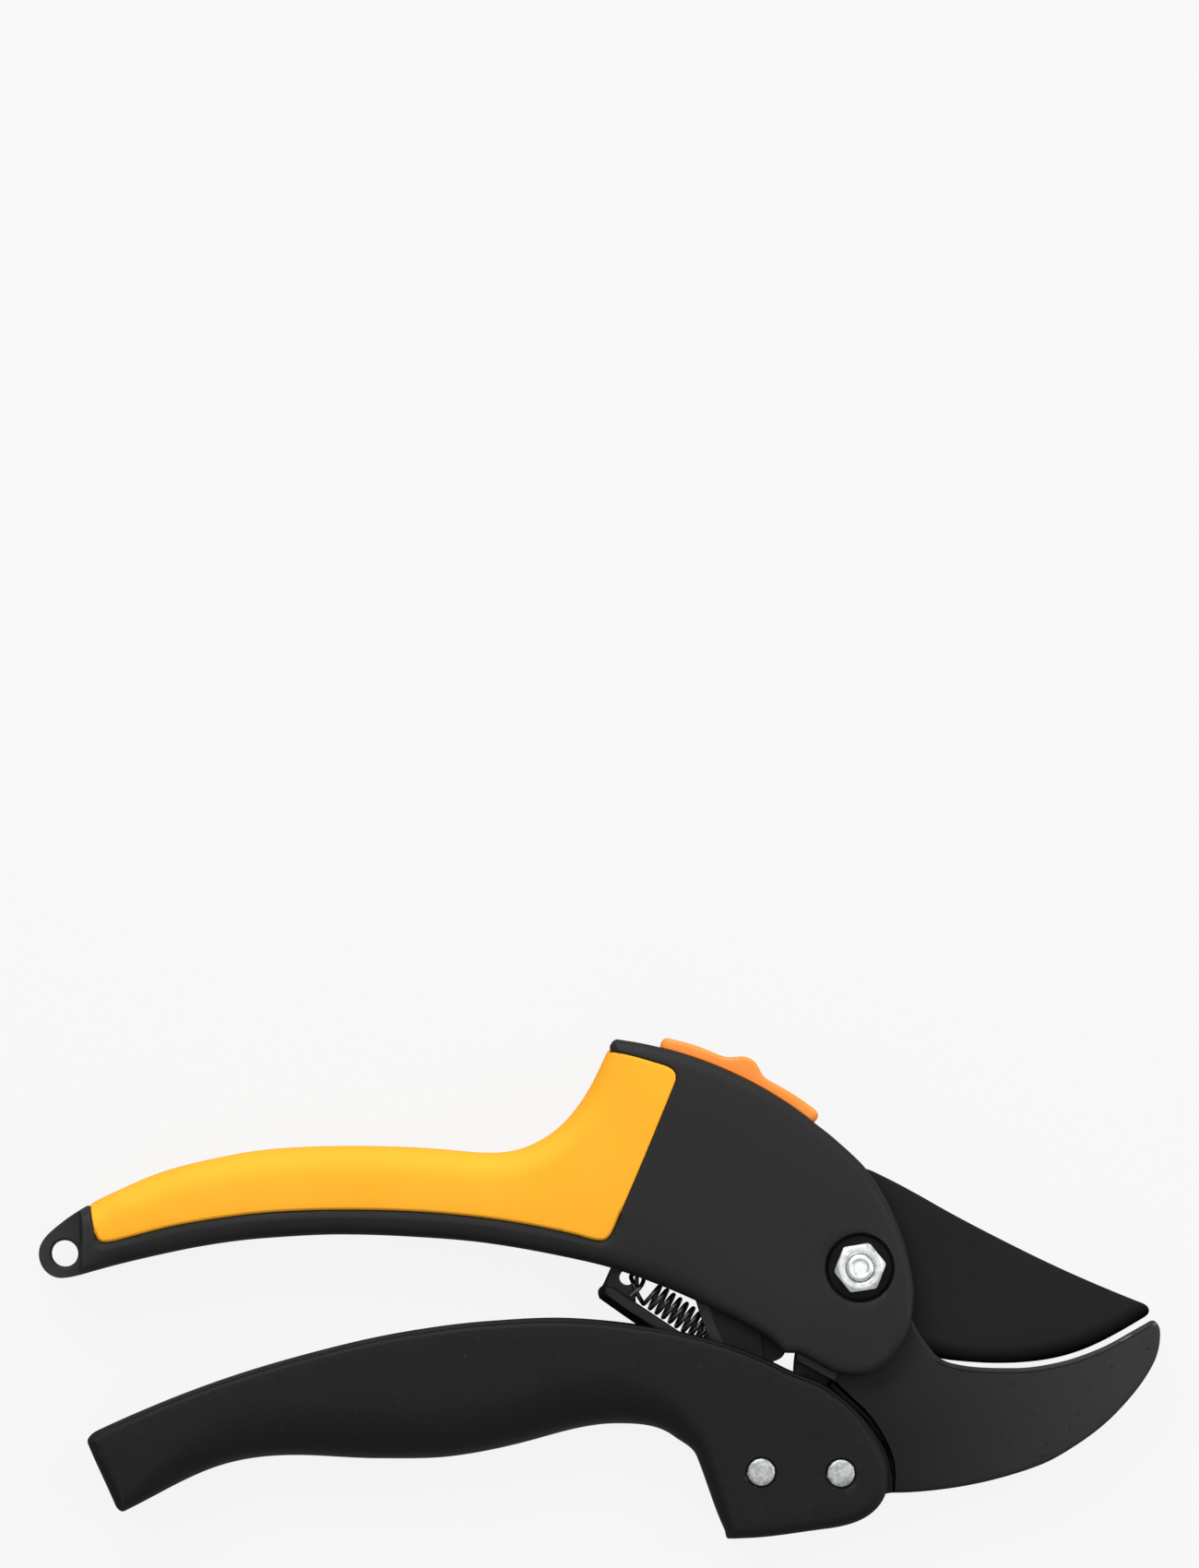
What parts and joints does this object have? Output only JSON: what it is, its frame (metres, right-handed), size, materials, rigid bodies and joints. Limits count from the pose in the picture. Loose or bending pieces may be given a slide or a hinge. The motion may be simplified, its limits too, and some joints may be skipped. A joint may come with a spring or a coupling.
{
  "type": "pruning shears",
  "caption": "Bypass pruning shears with a curved blade and hooked jaw, a soft grip, a stepped power linkage, a return spring and a sliding thumb lock.",
  "frame": {"origin": "on the main pivot's axis, in the plane of the back face that the tool lies on", "axes": "+X towards the blade's tip, +Y from the lower handle towards the upper handle, +Z out of the front face, along the main pivot"},
  "size_m": [0.2068, 0.0926, 0.0224],
  "materials": {
    "handle_plastic": "fine moulded grain",
    "grip_rubber": "soft matt overmould",
    "blade_coating": "dark low-friction coating, satin",
    "jaw_coating": "dark low-friction coating, satin",
    "plain_steel": "blackened stamped steel",
    "arm_steel": "blackened steel",
    "zinc_steel": "zinc plated",
    "black_steel": "blackened washer",
    "bush_bronze": "sintered bronze",
    "washer_plastic": "slippery washer",
    "lower_handle_plastic": "fine moulded grain",
    "spring_wire": "bright drawn wire",
    "lock_plastic": "moulded, semi-gloss"
  },
  "bodies": {
    "upper_handle_and_blade": {"upper_handle": "handle_plastic", "soft_grip": "grip_rubber", "cutting_blade": "blade_coating", "front_rack_plate": "plain_steel", "back_rack_plate": "plain_steel", "rack_dowels": "zinc_steel", "pivot_bolt": "zinc_steel", "pivot_nut": "zinc_steel", "nut_washer": "black_steel", "pivot_bush": "bush_bronze", "thrust_washer": "washer_plastic"},
    "jaw": {"lower_jaw": "jaw_coating"},
    "lower_handle": {"lower_handle": "lower_handle_plastic", "jaw_rivet": "zinc_steel", "link_rivet": "zinc_steel", "spring_anchor_pin": "zinc_steel"},
    "step_arm": {"step_arm": "arm_steel", "step_pin": "zinc_steel", "return_spring": "spring_wire"},
    "lock": {"lock_button": "lock_plastic", "lock_tongue": "plain_steel"}
  },
  "joints": [
    {"name": "jaw_pivot", "type": "hinge", "parent": "upper_handle_and_blade", "child": "jaw", "pos_m": [0, 0, 0.0117], "axis": [0, 0, 1], "range_deg": [-30, 3], "stiffness_Nm_per_rad": 0.2, "springref_deg": -30},
    {"name": "lower_handle_pivot", "type": "hinge", "parent": "jaw", "child": "lower_handle", "pos_m": [-0.0035, -0.0379, 0.01], "axis": [0, 0, 1], "range_deg": [-5.1, 50.1]},
    {"name": "step_arm_pivot", "type": "hinge", "parent": "lower_handle", "child": "step_arm", "pos_m": [-0.0182, -0.0377, 0.01], "axis": [0, 0, 1], "range_deg": [-27.1, 2.8], "deforming": ["return_spring"]},
    {"name": "lock_slide", "type": "hinge", "parent": "upper_handle_and_blade", "child": "lock", "pos_m": [-0.0545, -0.0319, 0.01], "axis": [0, 0, 1], "range_deg": [0, 4.2]}
  ],
  "couplings": [
    {"joint": "lower_handle_pivot", "follows": "jaw_pivot", "ratio": -1.667},
    {"joint": "step_arm_pivot", "follows": "jaw_pivot", "ratio": 0.9}
  ]
}
